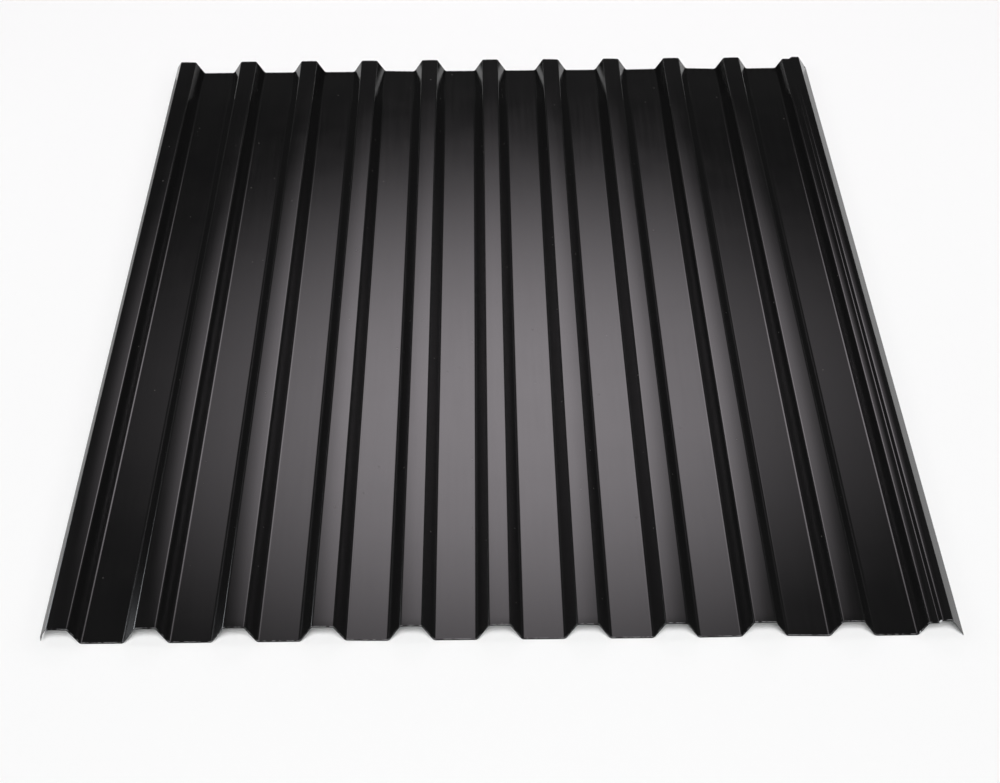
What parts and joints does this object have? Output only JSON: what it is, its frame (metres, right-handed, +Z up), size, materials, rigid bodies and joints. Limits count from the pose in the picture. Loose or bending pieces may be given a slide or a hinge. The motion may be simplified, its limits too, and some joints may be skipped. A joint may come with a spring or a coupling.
{
  "type": "roofing sheet",
  "caption": "Long thin coated steel sheet rolled into narrow trapezoidal ribs, with lapping flanges along both sides, for covering a roof or wall.",
  "frame": {"origin": "on the floor under the middle of the sheet, at the level of the trough undersides, half way along its length and half way across its overall width", "axes": "+X across the ribs, towards the edge with the stepped crest; +Y along the ribs; +Z up, out of the crests"},
  "size_m": [1.0444, 1.5, 0.021],
  "materials": {
    "coated_steel": "semi-gloss black coil coating"
  },
  "bodies": {
    "root": {"roofing_sheet": "coated_steel"}
  },
  "joints": []
}
